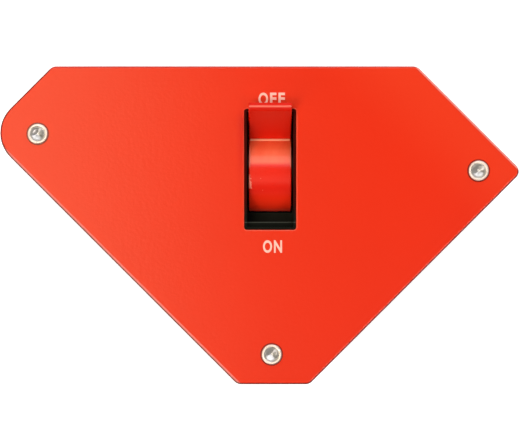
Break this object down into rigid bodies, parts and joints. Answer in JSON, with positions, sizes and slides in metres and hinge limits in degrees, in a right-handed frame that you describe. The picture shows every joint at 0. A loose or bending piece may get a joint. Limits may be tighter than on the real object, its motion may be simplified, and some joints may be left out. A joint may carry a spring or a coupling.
{
  "type": "welding magnet holder",
  "caption": "Switchable magnetic welding holder: two angled steel pole plates round a moulded core, with a thumb lever that turns the magnet on and off.",
  "frame": {"origin": "under the middle of the pole plates' outline, on the plane of the rear rivet heads that it lies on", "axes": "+X along the plates from the rounded nose to the pointed tip, +Y across them towards the long top edge, +Z out of the front plate towards the lever"},
  "size_m": [0.19, 0.1164, 0.0442],
  "materials": {
    "red_powder_coat": "glossy orange-red powder coat on 3 mm steel, light orange peel",
    "red_lever": "glossy deep red moulding, lightly scratched",
    "black_moulding": "black moulded plastic with a fine matt grain",
    "magnet": "dark grey sintered magnet",
    "bronze": "sintered bronze",
    "rivet_metal": "bright rivet metal, upset and slightly rough",
    "bright_steel": "plain bright steel"
  },
  "bodies": {
    "holder": {"front_plate": "red_powder_coat", "rear_plate": "red_powder_coat", "front_core": "black_moulding", "rear_core": "black_moulding", "slot_frame": "black_moulding", "left_bush": "bronze", "right_bush": "bronze", "left_front_pole_shoe": "bright_steel", "left_rear_pole_shoe": "bright_steel", "right_front_pole_shoe": "bright_steel", "right_rear_pole_shoe": "bright_steel", "nose_rivet": "rivet_metal", "tip_rivet": "rivet_metal", "foot_rivet": "rivet_metal", "nose_spacer_tube": "rivet_metal", "tip_spacer_tube": "rivet_metal", "foot_spacer_tube": "rivet_metal", "detent_spring": "bright_steel"},
    "rotor": {"switch_lever": "red_lever", "left_magnet_carrier": "black_moulding", "right_magnet_carrier": "black_moulding", "left_magnet": "magnet", "right_magnet": "magnet", "left_upper_pole_cap": "bright_steel", "left_lower_pole_cap": "bright_steel", "right_upper_pole_cap": "bright_steel", "right_lower_pole_cap": "bright_steel", "left_roll_pin": "bright_steel", "right_roll_pin": "bright_steel"},
    "ball": {"detent_ball": "bright_steel"}
  },
  "joints": [
    {"name": "lever_turn", "type": "hinge", "parent": "holder", "child": "rotor", "pos_m": [0.0039, 0.0194, 0.0183], "axis": [1, 0, 0], "range_deg": [0, 90]},
    {"name": "ball_press", "type": "slide", "parent": "holder", "child": "ball", "axis": [-1, 0, 0], "range_m": [0, 0.0008], "stiffness_N_per_m": 500, "springref_m": -0.001, "deforming": ["detent_spring"]}
  ]
}
